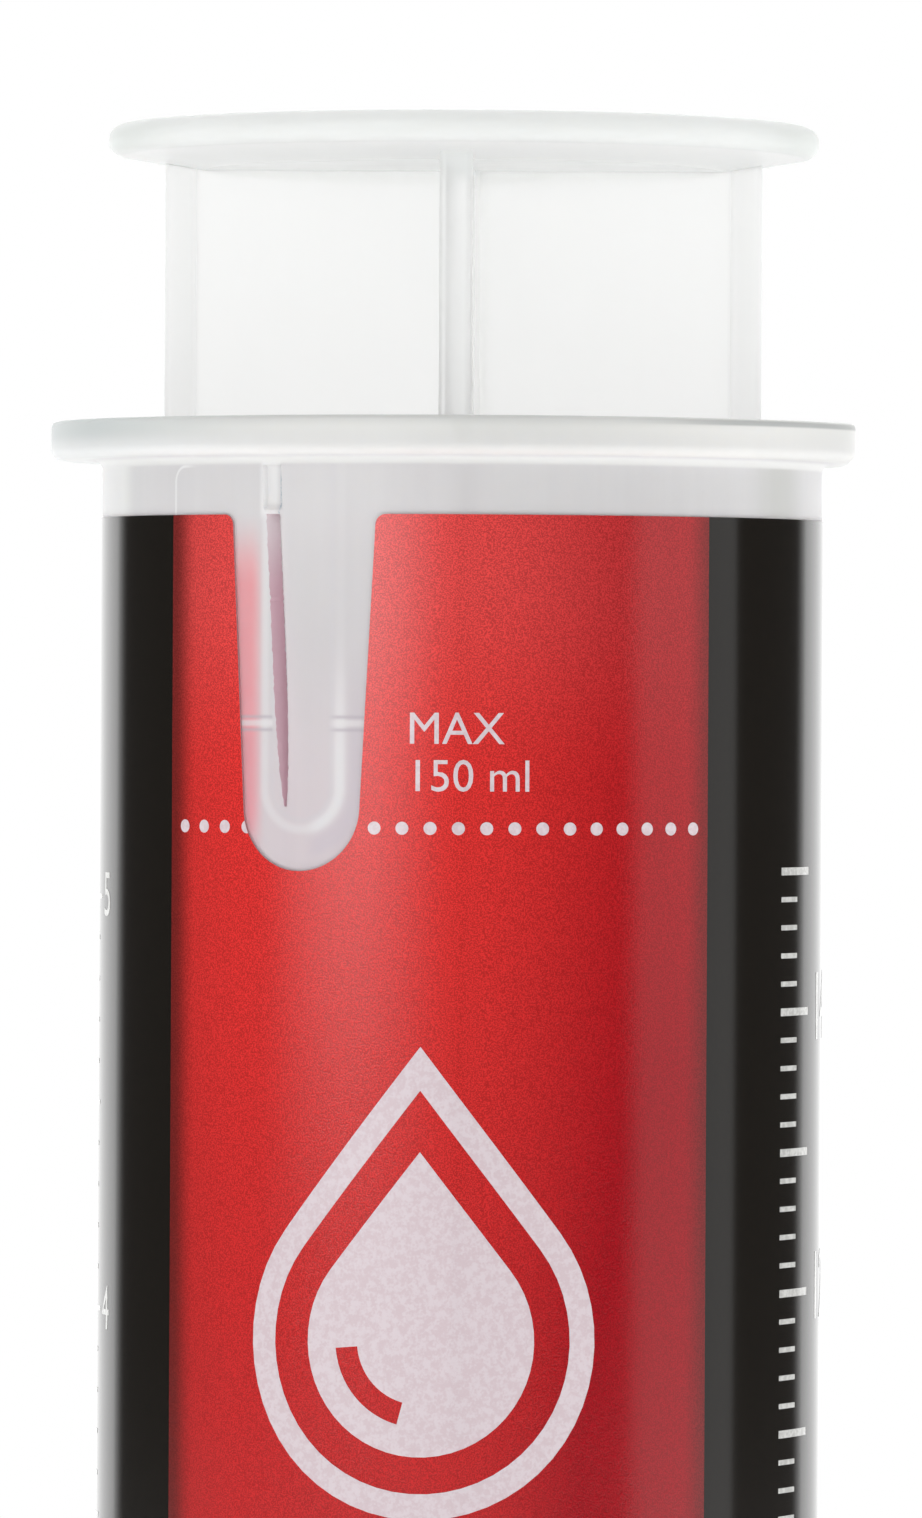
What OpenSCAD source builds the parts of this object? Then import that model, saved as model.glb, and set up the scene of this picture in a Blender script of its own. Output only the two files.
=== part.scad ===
// Sealant injector syringe: a clear-natural barrel with a printed wrap label, a cross-ribbed
// plunger rod and a rubber stopper that snaps on the rod's end.
// Frame: origin on the axis at the nozzle's root, +Z up towards the thumb plate. The label's
// front faces -Y. Angles round the barrel are counted from -Y towards +X.

/* [Barrel] */
// Outer diameter of the barrel wall
barrel_d = 42.3; // [40:0.1:46]
// Wall thickness of the barrel
barrel_wall = 1.4; // [1.1:0.1:2]
// Depth from the flange's top face to the foot of the bore
barrel_depth = 148.4; // [120:0.1:170]
// Thickness of the sloping end wall
end_wall = 2.4; // [2:0.1:3.5]
// Slope of the end wall in degrees
end_slope = 9; // [4:1:12]
// Radius of the rounded edge between wall and end wall
heel_r = 2; // [1:0.1:3]

/* [Flange] */
// How far the finger flange stands out from the barrel wall
flange_overhang = 3.05; // [2.5:0.05:8]
// Thickness of the flange
flange_t = 2.2; // [1.6:0.1:4]
// How much the flat side takes off the flange's edge, so that the syringe doesn't roll
flange_flat = 1.35; // [0.2:0.05:1.5]
// Radius of the flange's rounded edges
flange_edge_r = 0.6; // [0.2:0.1:0.7]
// Radius of the fillet between flange and wall
flange_fillet_r = 0.6; // [0.3:0.1:1]

/* [Lead-in and vent] */
// Depth of the wider mouth of the bore
mouth_depth = 17; // [8:0.1:22]
// How much the mouth is wider than the bore, on the radius
mouth_step = 0.4; // [0.1:0.05:0.6]
// Height of the cone between mouth and bore
mouth_taper = 0.9; // [0.4:0.1:3]
// Place of the vent groove round the barrel, in degrees
groove_angle = -25.6; // [-90:0.1:90]
// Width of the vent groove
groove_w = 5; // [3:0.1:8]
// Depth of the vent groove in the wall of the bore
groove_t = 0.6; // [0.2:0.05:0.8]
// Depth of the groove's lower end below the flange's top face
groove_depth = 23.7; // [18:0.1:40]
// Place of the vent slit's upper end round the barrel, in degrees
slit_angle = -30.9; // [-90:0.1:90]
// Width of the vent slit at its upper end
slit_w = 1; // [0.6:0.1:3]
// Width of the vent slit at its lower end
slit_foot_w = 0.16; // [0.1:0.02:0.5]
// Sideways lean of the vent slit over its length
slit_lean = 0.95; // [-3:0.05:3]
// Depth of the slit's upper end below the flange's top face
slit_top = 5.4; // [3:0.1:9]
// Depth of the slit's lower end below the flange's top face
slit_depth = 22.3; // [10:0.1:40]

/* [Nozzle] */
// Diameter of the straight land that a hose grips
nozzle_d = 8.6; // [6:0.1:12]
// Length of the straight land
nozzle_land = 9; // [5:0.5:15]
// Length of the taper below the land
nozzle_taper = 15; // [8:0.5:25]
// Diameter at the nozzle's tip
nozzle_tip_d = 6.4; // [5:0.1:6.5]
// Diameter of the nozzle's passage
nozzle_bore_d = 3.6; // [2:0.1:4]
// Bevel on the edge of the nozzle's tip
nozzle_bevel = 0.5; // [0.2:0.1:0.6]
// Diameter of the flat seat round the nozzle's root
seat_d = 15; // [13:0.5:18]

/* [Wrap label] */
// Thickness of the label film
label_t = 0.1; // [0.05:0.01:0.3]
// Gap that stands for the glue between label and barrel
label_gap = 0.02; // [0.01:0.01:0.1]
// Distance of the label's top edge below the flange's top face
label_top = 5.6; // [4:0.1:12]
// Distance of the label's lower edge above the foot of the bore
label_foot = 3; // [0.5:0.1:20]
// Where the label starts round the barrel, in degrees
label_start = -87; // [-170:1:-80]
// Width of the bare strip that the liquid shows through, in degrees
label_window = 26; // [10:1:80]
// Place of the label's cut-out round the barrel, in degrees
cutout_angle = -25.8; // [-60:0.1:60]
// Radius of the cut-out's round lower end
cutout_r = 3.7; // [2:0.1:6]
// Taper of each side of the cut-out, in degrees
cutout_taper = 3; // [0:0.1:8]
// Depth of the cut-out below the label's top edge
cutout_depth = 20.4; // [10:0.1:40]

/* [Plunger rod] */
// Diameter of the thumb plate
plate_d = 41.8; // [36:0.1:50]
// Thickness of the thumb plate's rounded rim
plate_t = 1.8; // [1.2:0.1:3]
// Gap between the flange and the thumb plate when pushed right in
plate_gap = 15.7; // [6:0.1:30]
// Height of the thumb plate's dome
plate_dome = 0.6; // [0.2:0.1:2]
// Extra thickness under the thumb plate, inside its rim
plate_boss_t = 0.8; // [0.3:0.1:2]
// Width of the sloping ring between the rim and that extra thickness
plate_boss_slope = 4.8; // [2:0.1:8]
// Width of the cross-shaped stem, from rib edge to rib edge
stem_w = 35.1; // [28:0.1:36]
// Turn of the ribs round the axis when the rod is at rest, in degrees
stem_turn = -1.5; // [-45:0.5:45]
// Thickness of each rib's web
web_t = 1.4; // [1:0.1:2]
// Width of the bead along each rib's edge
bead_w = 1.9; // [1.5:0.1:3]
// Radius of the bead's rounded corners
bead_r = 0.45; // [0.2:0.05:0.7]
// Diameter of the round core where the ribs meet
core_d = 2.4; // [2:0.1:8]
// Thickness of the end disc and the guide disc
disc_t = 2; // [1:0.1:4]
// Gap between the discs and the bore
disc_gap = 0.6; // [0.3:0.05:1.5]
// Clear height between the end disc and the guide disc
disc_pitch = 12; // [6:0.5:30]

/* [Stopper] */
// Height of the stopper at its edge
stopper_h = 14; // [12:0.1:20]
// Height of each sealing lip
lip_h = 2.6; // [1.5:0.1:4]
// Gap between the sealing lips and the bore
lip_gap = 0.05; // [0.01:0.01:0.1]
// Bevel on the lips' edges
lip_bevel = 0.5; // [0.2:0.1:1]
// Depth of the waist between the lips
waist_t = 0.9; // [0.3:0.1:1.5]
// Gap between the stopper's nose and the end wall when pushed right in
nose_gap = 0.3; // [0.1:0.05:1]
// Diameter of the socket's mouth
socket_mouth_d = 18; // [12:0.1:20]
// Height of the socket's mouth
socket_mouth_h = 3; // [2:0.1:4]
// Diameter of the socket's chamber
socket_d = 22.4; // [21:0.1:28]
// Height of the socket's chamber
socket_h = 5.6; // [4:0.1:6]
// Running gap between the rod's snap stud and the socket
snap_gap = 0.15; // [0.05:0.05:0.3]
// Bevel on the snap stud's head
stud_bevel = 1.2; // [0.5:0.1:1.5]

/* [Hidden] */
$fn = 96;
// Overshoot of cuts past the faces they cut
over = 1;
rib_count = 4;

barrel_r = barrel_d / 2;
bore_r = barrel_r - barrel_wall;
flange_r = barrel_r + flange_overhang;
seat_r = seat_d / 2;
slope = tan(end_slope);

// Height of the inner floor at a distance from the axis
function floor_z(r) = end_wall + (r - seat_r) * slope;
bore_foot_z = floor_z(bore_r);
flange_top_z = bore_foot_z + barrel_depth;
flange_under_z = flange_top_z - flange_t;
mouth_foot_z = flange_top_z - mouth_depth;
nozzle_tip_z = -nozzle_land - nozzle_taper;

// Centre of the rounded heel, which touches the wall and the sloping end wall
heel_x = barrel_r - heel_r;
heel_z = (heel_x - seat_r) * slope + heel_r / cos(end_slope);

label_r = barrel_r + label_gap;
label_top_z = flange_top_z - label_top;
label_foot_z = bore_foot_z + label_foot;
cutout_foot_z = label_top_z - cutout_depth;

// Height of the stopper's nose at a distance from the axis
function nose_z(r) = floor_z(r) + nose_gap;
lip_r = bore_r - lip_gap;
waist_r = lip_r - waist_t;
stopper_foot_z = nose_z(lip_r) + lip_bevel;
stopper_top_z = nose_z(lip_r) + stopper_h;
chamber_top_z = stopper_top_z - socket_mouth_h;
chamber_foot_z = chamber_top_z - socket_h;

disc_r = bore_r - disc_gap;
end_disc_z = stopper_top_z + snap_gap;
guide_disc_z = end_disc_z + disc_t + disc_pitch;
plate_z = flange_top_z + plate_gap;
plate_rim_r = plate_t / 2;
plate_flat_r = plate_d / 2 - plate_rim_r;
plate_boss_r = plate_flat_r - plate_boss_slope;
dome_r = (plate_flat_r * plate_flat_r + plate_dome * plate_dome) / (2 * plate_dome);

// Square of side w with rounded corners, centred
module round_square(w, r) {
    inner = w - 2 * r;
    square([w, inner], center = true);
    square([inner, w], center = true);
    for (x = [-1, 1], y = [-1, 1])
        translate([x, y] * inner / 2) circle(r);
}

// A flat shape, drawn as seen from outside at an angle round the axis, driven outwards
module driven_out(angle, from, to) {
    rotate([0, 0, angle]) rotate([90, 0, 0])
        translate([0, 0, from]) linear_extrude(to - from) children();
}

// Half section of the barrel's outside with its flange and end wall
module barrel_outside() {
    translate([0, heel_z]) square([barrel_r, flange_top_z - heel_z]);
    polygon([
        [0, 0], [seat_r, 0],
        [heel_x + heel_r * sin(end_slope), heel_z - heel_r * cos(end_slope)],
        [heel_x, heel_z], [0, heel_z]
    ]);
    translate([heel_x, heel_z]) circle(heel_r);
    flange_section();
}

// Half section of the flange with its rounded edges and fillet
module flange_section() {
    edge_x = flange_r - flange_edge_r;
    translate([0, flange_under_z]) square([edge_x, flange_t]);
    translate([0, flange_under_z + flange_edge_r])
        square([flange_r, flange_t - 2 * flange_edge_r]);
    for (z = [flange_under_z + flange_edge_r, flange_top_z - flange_edge_r])
        translate([edge_x, z]) circle(flange_edge_r);
    difference() {
        translate([barrel_r - over, flange_under_z - flange_fillet_r])
            square([over + flange_fillet_r, flange_fillet_r]);
        translate([barrel_r + flange_fillet_r, flange_under_z - flange_fillet_r])
            circle(flange_fillet_r);
    }
}

// Half section of the nozzle: straight land, taper and bevelled tip
module nozzle_section() {
    tip_r = nozzle_tip_d / 2;
    polygon([
        [0, over], [nozzle_d / 2, over], [nozzle_d / 2, -nozzle_land],
        [tip_r, nozzle_tip_z + nozzle_bevel], [tip_r - nozzle_bevel, nozzle_tip_z],
        [0, nozzle_tip_z]
    ]);
}

// Half section of the barrel's bore, its wider mouth and the nozzle's passage
module barrel_inside() {
    passage_r = nozzle_bore_d / 2;
    mouth_r = bore_r + mouth_step;
    polygon([
        [0, nozzle_tip_z - over], [passage_r, nozzle_tip_z - over],
        [passage_r, floor_z(passage_r)], [bore_r, bore_foot_z],
        [bore_r, mouth_foot_z - mouth_taper], [mouth_r, mouth_foot_z],
        [mouth_r, flange_top_z + over], [0, flange_top_z + over]
    ]);
}

// Round-ended groove in the bore that lets air past the stopper
module vent_groove() {
    end_r = groove_w / 2;
    end_z = flange_top_z - groove_depth + end_r;
    intersection() {
        cylinder(r = bore_r + groove_t, h = flange_top_z + over);
        driven_out(groove_angle, bore_r / 2, barrel_r) {
            translate([0, end_z]) circle(end_r);
            translate([-end_r, end_z]) square([groove_w, flange_top_z + over - end_z]);
        }
    }
}

// Leaning wedge-shaped slit through the wall below the flange
module vent_slit() {
    top_z = flange_top_z - slit_top;
    foot_z = flange_top_z - slit_depth;
    driven_out(slit_angle, bore_r / 2, barrel_r + over)
        polygon([
            [-slit_w / 2, top_z], [slit_w / 2, top_z],
            [slit_lean + slit_foot_w / 2, foot_z], [slit_lean - slit_foot_w / 2, foot_z]
        ]);
}

// What is cut from the flange to make its flat side
module flat_side() {
    translate([flange_r - flange_flat, -flange_r, flange_under_z - over])
        cube([flange_flat + over, 2 * flange_r, flange_t + 2 * over]);
}

// Moulded barrel with finger flange, vent and hose nozzle
module barrel() {
    color("gainsboro") difference() {
        union() {
            rotate_extrude() barrel_outside();
            rotate_extrude() nozzle_section();
        }
        rotate_extrude() barrel_inside();
        vent_groove();
        vent_slit();
        flat_side();
    }
}

// Outline of the label's cut-out: round foot and tapered sides
module cutout_outline() {
    foot_z = cutout_foot_z + cutout_r;
    mouth_z = label_top_z + over;
    mouth_x = cutout_r / cos(cutout_taper) + (mouth_z - foot_z) * tan(cutout_taper);
    touch_x = cutout_r * cos(cutout_taper);
    touch_z = foot_z - cutout_r * sin(cutout_taper);
    translate([0, foot_z]) circle(cutout_r);
    polygon([
        [-touch_x, touch_z], [touch_x, touch_z], [mouth_x, mouth_z], [-mouth_x, mouth_z]
    ]);
}

// Printed film round the barrel, with a bare strip to read the level and a cut-out at the vent
module wrap_label() {
    color("firebrick") difference() {
        rotate([0, 0, label_start - 90]) rotate_extrude(angle = 360 - label_window)
            translate([label_r, label_foot_z]) square([label_t, label_top_z - label_foot_z]);
        driven_out(cutout_angle, bore_r / 2, barrel_r + over) cutout_outline();
    }
}

// Cross section of the stem: a round core and four ribs with beaded edges
module stem_outline() {
    circle(d = core_d);
    for (i = [0 : rib_count - 1]) rotate(stem_turn + i * 360 / rib_count) {
        translate([0, -web_t / 2]) square([stem_w / 2 - bead_w / 2, web_t]);
        translate([(stem_w - bead_w) / 2, 0]) round_square(bead_w, bead_r);
    }
}

// Half section of the thumb plate: round rim, shallow dome, thicker middle
module plate_section() {
    translate([plate_flat_r, plate_z + plate_rim_r]) circle(plate_rim_r);
    polygon([
        [0, plate_z - plate_boss_t], [plate_boss_r, plate_z - plate_boss_t],
        [plate_flat_r, plate_z], [plate_flat_r, plate_z + plate_t], [0, plate_z + plate_t]
    ]);
    intersection() {
        translate([0, plate_z + plate_t + plate_dome - dome_r]) circle(dome_r, $fn = 720);
        translate([0, plate_z + plate_rim_r]) square([plate_flat_r, plate_t + plate_dome]);
    }
}

// Half section of the snap stud that holds the stopper
module stud_section() {
    neck_r = socket_mouth_d / 2 - snap_gap;
    head_r = socket_d / 2 - snap_gap;
    head_top_z = chamber_top_z - snap_gap;
    head_foot_z = chamber_foot_z + snap_gap;
    translate([0, head_top_z - over]) square([neck_r, end_disc_z - head_top_z + 2 * over]);
    polygon([
        [0, head_foot_z], [head_r - stud_bevel, head_foot_z],
        [head_r, head_foot_z + stud_bevel], [head_r, head_top_z], [0, head_top_z]
    ]);
}

// Moulded rod: thumb plate, cross-ribbed stem, guide disc, end disc and snap stud
module plunger_rod() {
    color("whitesmoke") {
        translate([0, 0, end_disc_z]) linear_extrude(plate_z - end_disc_z) stem_outline();
        rotate_extrude() plate_section();
        rotate_extrude() stud_section();
        for (z = [end_disc_z, guide_disc_z])
            translate([0, 0, z]) cylinder(r = disc_r, h = disc_t);
    }
}

// Half section of the stopper: conical nose, two lips and a waist
module stopper_section() {
    upper_lip_z = stopper_top_z - lip_h;
    lower_lip_z = stopper_foot_z + lip_h;
    polygon([
        [0, nose_z(0)], [lip_r - lip_bevel, nose_z(lip_r - lip_bevel)],
        [lip_r, stopper_foot_z], [lip_r, lower_lip_z],
        [waist_r, lower_lip_z + waist_t], [waist_r, upper_lip_z - waist_t],
        [lip_r, upper_lip_z], [lip_r, stopper_top_z - lip_bevel],
        [lip_r - lip_bevel, stopper_top_z], [0, stopper_top_z]
    ]);
}

// Half section of the socket that the stud snaps into
module socket_section() {
    mouth_r = socket_mouth_d / 2;
    chamber_r = socket_d / 2;
    polygon([
        [0, chamber_foot_z], [chamber_r - stud_bevel, chamber_foot_z],
        [chamber_r, chamber_foot_z + stud_bevel], [chamber_r, chamber_top_z],
        [mouth_r, chamber_top_z], [mouth_r, stopper_top_z + over], [0, stopper_top_z + over]
    ]);
}

// Rubber stopper that seals in the bore and turns freely on the rod's stud
module stopper() {
    color("dimgray") rotate_extrude() difference() {
        stopper_section();
        socket_section();
    }
}

barrel();
wrap_label();
plunger_rod();
stopper();
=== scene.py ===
"""Looks of the sealant injector syringe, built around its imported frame.

Sizes are in millimetres and angles in degrees, counted round the barrel from the front (-Y)
towards +X. Meshes are scaled to metres when they are made.
"""

import math

import bmesh
import bpy
from mathutils import Matrix, Vector


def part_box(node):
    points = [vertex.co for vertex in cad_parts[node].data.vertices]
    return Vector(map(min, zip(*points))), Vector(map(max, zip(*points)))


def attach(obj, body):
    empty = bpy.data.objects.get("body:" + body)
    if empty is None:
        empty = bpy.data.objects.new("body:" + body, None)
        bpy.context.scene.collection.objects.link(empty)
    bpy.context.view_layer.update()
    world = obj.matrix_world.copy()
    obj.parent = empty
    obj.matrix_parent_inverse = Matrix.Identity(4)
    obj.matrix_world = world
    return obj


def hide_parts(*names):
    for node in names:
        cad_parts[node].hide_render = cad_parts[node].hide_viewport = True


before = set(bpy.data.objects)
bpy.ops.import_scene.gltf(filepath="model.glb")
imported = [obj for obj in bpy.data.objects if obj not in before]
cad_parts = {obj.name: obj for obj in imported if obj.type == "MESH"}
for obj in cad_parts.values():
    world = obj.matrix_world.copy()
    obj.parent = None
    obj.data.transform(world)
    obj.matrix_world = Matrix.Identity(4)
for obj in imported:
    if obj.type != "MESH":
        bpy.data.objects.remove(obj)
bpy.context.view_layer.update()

MM = 0.001

# Sizes read from the frame
label_low, label_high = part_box("wrap_label")
barrel_low, barrel_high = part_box("barrel")
FILM_OUTER_R = -label_low.y / MM
FILM_TOP_Z = label_high.z / MM
FILM_FOOT_Z = label_low.z / MM
FLANGE_R = -barrel_low.x / MM
FLANGE_FLAT_X = barrel_high.x / MM
FLANGE_TOP_Z = barrel_high.z / MM
NOZZLE_TIP_Z = barrel_low.z / MM

# Plunger rod
PLATE_T = 2.4
PLATE_FLAT_R = 20.0
PLATE_UNDER_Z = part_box("plunger_rod")[1].z / MM - PLATE_T
STEM_R = 17.55
BEAD_DEPTH = 1.8
STEM_FADE = 35.0

# Barrel wall, flange and nozzle
BARREL_R = 21.15
BORE_R = 19.75
MOUTH_R = 20.15
MOUTH_DEPTH = 17.0
MOUTH_TAPER = 0.9
MOUTH_EDGE_R = 0.25
MOUTH_FOOT_Z = FLANGE_TOP_Z - MOUTH_DEPTH
FLANGE_T = 2.2
FLANGE_EDGE_R = 0.6
BRIM_R = 0.3
FLANGE_FILLET_R = 0.6
FLANGE_UNDER_Z = FLANGE_TOP_Z - FLANGE_T
FILLET_Z = FLANGE_UNDER_Z - FLANGE_FILLET_R
END_WALL = 2.4
END_SLOPE = 9.0
HEEL_R = 2.0
SEAT_R = 7.5
NOZZLE_R = 4.3
NOZZLE_LAND = 9.0
NOZZLE_TIP_R = 3.2
NOZZLE_BEVEL = 0.5
PASSAGE_R = 1.8

# Vent groove inside the wall and vent slit through it
GROOVE_ANGLE = -25.6
GROOVE_HALF_W = 2.5
GROOVE_R = 20.35
GROOVE_DEPTH = 23.7
GROOVE_SOFT = 0.45
GROOVE_FOOT_Z = FLANGE_TOP_Z - GROOVE_DEPTH
GROOVE_END_Z = GROOVE_FOOT_Z + GROOVE_HALF_W
VENT_MARGIN = 2.0
VENT_FOOT_Z = GROOVE_FOOT_Z - VENT_MARGIN
SLIT_ANGLE = -31.1
SLIT_W = 0.93
SLIT_FOOT_W = 0.12
SLIT_LEAN = 1.05
SLIT_DEPTH = 22.5
SLIT_TOP_DEPTH = 5.4
SLIT_NOTCH = 0.25
SLIT_SKEW = 1.1
SLIT_FOOT_Z = FLANGE_TOP_Z - SLIT_DEPTH
SLIT_TOP_Z = FLANGE_TOP_Z - SLIT_TOP_DEPTH

# Film and its print
FILM_T = 0.1
FILM_START = -87.0
FILM_WINDOW = 26.0
FILM_END = FILM_START + 360.0 - FILM_WINDOW
RED_FROM = -51.5
RED_TO = 41.8
CUTOUT_ANGLE = -25.8
CUTOUT_R = 3.7
CUTOUT_TAPER = 3.0
CUTOUT_DEPTH = 20.4
CUTOUT_CORNER_R = 0.6
CUTOUT_FOOT_Z = FILM_TOP_Z - CUTOUT_DEPTH
CUTOUT_CENTRE_Z = CUTOUT_FOOT_Z + CUTOUT_R
INK_T = 0.015
INK_SINK = 0.01
STOP_LINE_DEPTH = 23.5
STOP_LINE_Z = FLANGE_TOP_Z - STOP_LINE_DEPTH
SCALE_ZERO_Z = 4.34
OUNCE_MM = 24.13
OUNCE_ML = 29.574
MILLILITRE_MM = OUNCE_MM / OUNCE_ML
MARKS_ANGLE = -6.0

# Mesh fineness
VENT_ROWS = 116
WALL_ROWS = 20
MOUTH_ROWS = 8
EDGE_STEPS = 7
HEEL_STEPS = 9
MOUTH_EDGE_STEPS = 5
VENT_LEFT_COLUMNS = 28
VENT_RIGHT_COLUMNS = 48
COARSE_COLUMNS = 110
FINE_FROM = -44.0
FINE_TO = -8.0
SLIT_COLUMN = VENT_LEFT_COLUMNS - 1
FILM_COLUMN_STEP = 2.0
BEND_STEP = 0.6
SHARP_ANGLE = 35.0
TINY = 0.01


def smooth_step(low, high, value):
    """0 below low, 1 above high and a soft rise between; low may be the larger one."""
    share = min(max((value - low) / (high - low), 0.0), 1.0)
    return share * share * (3.0 - 2.0 * share)


def between(first, last, count):
    """Evenly spaced values from first to last, both included."""
    return [first + (last - first) * i / (count - 1) for i in range(count)]


def arc(centre_x, centre_z, radius, from_deg, to_deg, count):
    """Points of an arc in a section plane."""
    turns = [math.radians(a) for a in between(from_deg, to_deg, count)]
    return [(centre_x + radius * math.cos(a), centre_z + radius * math.sin(a)) for a in turns]


def around(radius, angle, z):
    """Point at a distance from the axis, an angle round it and a height, in metres."""
    turn = math.radians(angle)
    return Vector((radius * math.sin(turn), -radius * math.cos(turn), z)) * MM


def add_object(name, data):
    """New object in the scene."""
    holder = bpy.data.objects.new(name, data)
    bpy.context.scene.collection.objects.link(holder)
    return holder


def add_piece(name, points, faces, materials, face_materials=None):
    """New mesh object, shaded smooth with its hard edges kept."""
    mesh = bpy.data.meshes.new(name)
    mesh.from_pydata(points, [], faces)
    for material in materials:
        mesh.materials.append(material)
    if face_materials:
        mesh.polygons.foreach_set("material_index", face_materials)
    mesh.validate()
    mesh.shade_smooth()
    mesh.set_sharp_from_angle(angle=math.radians(SHARP_ANGLE))
    return add_object(name, mesh)


# Node helpers

def link_or_set(tree, socket, value):
    """Links an output to a socket, or sets the socket's own value."""
    if isinstance(value, bpy.types.NodeSocket):
        tree.links.new(value, socket)
    else:
        socket.default_value = value


def add_node(tree, kind, inputs=(), **settings):
    """New shader node; inputs are pairs of socket and value, or socket and output to link."""
    node = tree.nodes.new(kind)
    for key, value in settings.items():
        setattr(node, key, value)
    for key, value in inputs:
        link_or_set(tree, node.inputs[key], value)
    return node


def start_material(name):
    """New material: its node tree and its Principled shader."""
    material = bpy.data.materials.new(name)
    material.use_nodes = True
    return material, material.node_tree, material.node_tree.nodes["Principled BSDF"]


def set_shader(tree, shader, **values):
    """Sets the shader's sockets by name, with _ for a space, or links them."""
    for key, value in values.items():
        link_or_set(tree, shader.inputs[key.replace("_", " ")], value)


def place(tree, stretch=(1.0, 1.0, 1.0)):
    """Object coordinates in millimetres, stretched along the axes."""
    coordinates = add_node(tree, "ShaderNodeTexCoord")
    scale = [share / MM for share in stretch]
    mapping = add_node(tree, "ShaderNodeMapping", [
        ("Vector", coordinates.outputs["Object"]), ("Scale", scale)])
    return mapping.outputs["Vector"]


def noise(tree, size, detail=2.0, stretch=(1.0, 1.0, 1.0)):
    """Noise whose features are about size millimetres wide."""
    texture = add_node(tree, "ShaderNodeTexNoise", [
        ("Vector", place(tree, stretch)), ("Scale", 1.0 / size), ("Detail", detail)])
    return texture.outputs["Fac"]


def math_node(tree, operation, first, second=0.0):
    """Sum, product or other operation on two values or outputs."""
    return add_node(tree, "ShaderNodeMath", [(0, first), (1, second)], operation=operation).outputs[0]


def product(tree, *values):
    """Product of several values or outputs."""
    result = values[0]
    for value in values[1:]:
        result = math_node(tree, "MULTIPLY", result, value)
    return result


def length(tree, vector):
    """Length of a vector output."""
    return add_node(tree, "ShaderNodeVectorMath", [(0, vector)], operation="LENGTH").outputs["Value"]


def flat_length(tree, x, y):
    """Length of the flat vector (x, y)."""
    return length(tree, add_node(tree, "ShaderNodeCombineXYZ", [("X", x), ("Y", y)]).outputs[0])


def spread(tree, value, low, high, to_low=0.0, to_high=1.0):
    """Value moved from the range low..high to another one, clamped, with a soft rise."""
    node = add_node(tree, "ShaderNodeMapRange", [
        ("Value", value), ("From Min", low), ("From Max", high),
        ("To Min", to_low), ("To Max", to_high)], interpolation_type="SMOOTHSTEP")
    return node.outputs["Result"]


def window(tree, value, low, high, soft):
    """1 between low and high, 0 outside, with edges as soft as said."""
    rise = spread(tree, value, low - soft, low + soft)
    fall = spread(tree, value, high - soft, high + soft, 1.0, 0.0)
    return product(tree, rise, fall)


def blend(tree, share, first, second):
    """Number between two numbers or outputs."""
    return add_node(tree, "ShaderNodeMix", [(0, share), (2, first), (3, second)]).outputs[0]


def mix(tree, share, first, second):
    """Colour between two colours or outputs."""
    node = add_node(tree, "ShaderNodeMix", [(0, share)], data_type="RGBA")
    for socket, colour in ((6, first), (7, second)):
        plain = not isinstance(colour, bpy.types.NodeSocket)
        link_or_set(tree, node.inputs[socket], (*colour, 1.0) if plain else colour)
    return node.outputs[2]


def paint(tree, colour, layers):
    """Colour under layers of paint; a layer is (tone, strength, shares of the places that it covers)."""
    for tone, strength, *places in layers:
        shares = places if strength == FULL else (*places, strength)
        colour = mix(tree, product(tree, *shares), colour, tone)
    return colour


def bump(tree, height, strength, distance_mm, base=None):
    """Normal from a height."""
    node = add_node(tree, "ShaderNodeBump", [
        ("Height", height), ("Strength", strength), ("Distance", distance_mm * MM)])
    if base:
        tree.links.new(base, node.inputs["Normal"])
    return node.outputs["Normal"]


def from_axis(tree):
    """Distance from the axis in millimetres."""
    return length(tree, place(tree, (1.0, 1.0, 0.0)))


def round_place(tree):
    """Angle round the axis in degrees, height and distance from the axis in millimetres."""
    parts = add_node(tree, "ShaderNodeSeparateXYZ", [(0, place(tree))])
    front = product(tree, parts.outputs["Y"], -1.0)
    turn = math_node(tree, "ARCTAN2", parts.outputs["X"], front)
    angle = product(tree, turn, math.degrees(1.0))
    return angle, parts.outputs["Z"], from_axis(tree)


def along_wall(tree, angle, start):
    """Millimetres along the barrel's outside from a start angle."""
    mm_per_degree = math.radians(BARREL_R)
    return product(tree, math_node(tree, "SUBTRACT", angle, start), mm_per_degree)


# Full strength of a layer of paint, and the tones of the plastics, the inks and the floor, with the
# painted light and shade of the plastics

FULL = 1.0
WHITE = (1.0, 1.0, 1.0)
# Painted light: the film's red light on the barrel, and its pink tint
RED_LIGHT = (0.97, 0.43, 0.46)
PINK_FILM_LIGHT = (0.92, 0.50, 0.66)
# Painted light and shade where the groove shows through the wall
GROOVE_SIDE_LIGHT = (0.97, 0.965, 0.975)
GROOVE_HIGHLIGHT = (1.0, 0.985, 1.0)
GROOVE_SHADE = (0.68, 0.62, 0.70)
GROOVE_LINE = (0.78, 0.77, 0.80)
# Painted shade lines and painted light where the mouth's step shows through the wall
STEP_SHADE_LINE = (0.60, 0.55, 0.60)
STEP_LIGHT = (0.97, 0.94, 0.95)
# Painted shade line down the right side of the slit's notch
NOTCH_SHADE_LINE = (0.50, 0.57, 0.63)
# Painted light and shade on the bare band above the film
BAND_LIGHT = (0.97, 0.98, 0.95)
BAND_SHADE = (0.62, 0.63, 0.60)
# Painted light, shade and dark reflection on the flange, its root and its brim
FLANGE_FRONT_LIT = (0.85, 0.855, 0.835)
FLANGE_RIGHT_LIT = (0.97, 0.97, 0.935)
FLANGE_LEFT_SHADED = (0.66, 0.70, 0.695)
FLANGE_TOP = (0.55, 0.56, 0.56)
FLANGE_FOOT_LIGHT = (0.98, 0.99, 0.99)
FLANGE_ROOT_LIGHT = (0.88, 0.88, 0.87)
BRIM_DARK_REFLECTION = (0.40, 0.42, 0.42)
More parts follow.
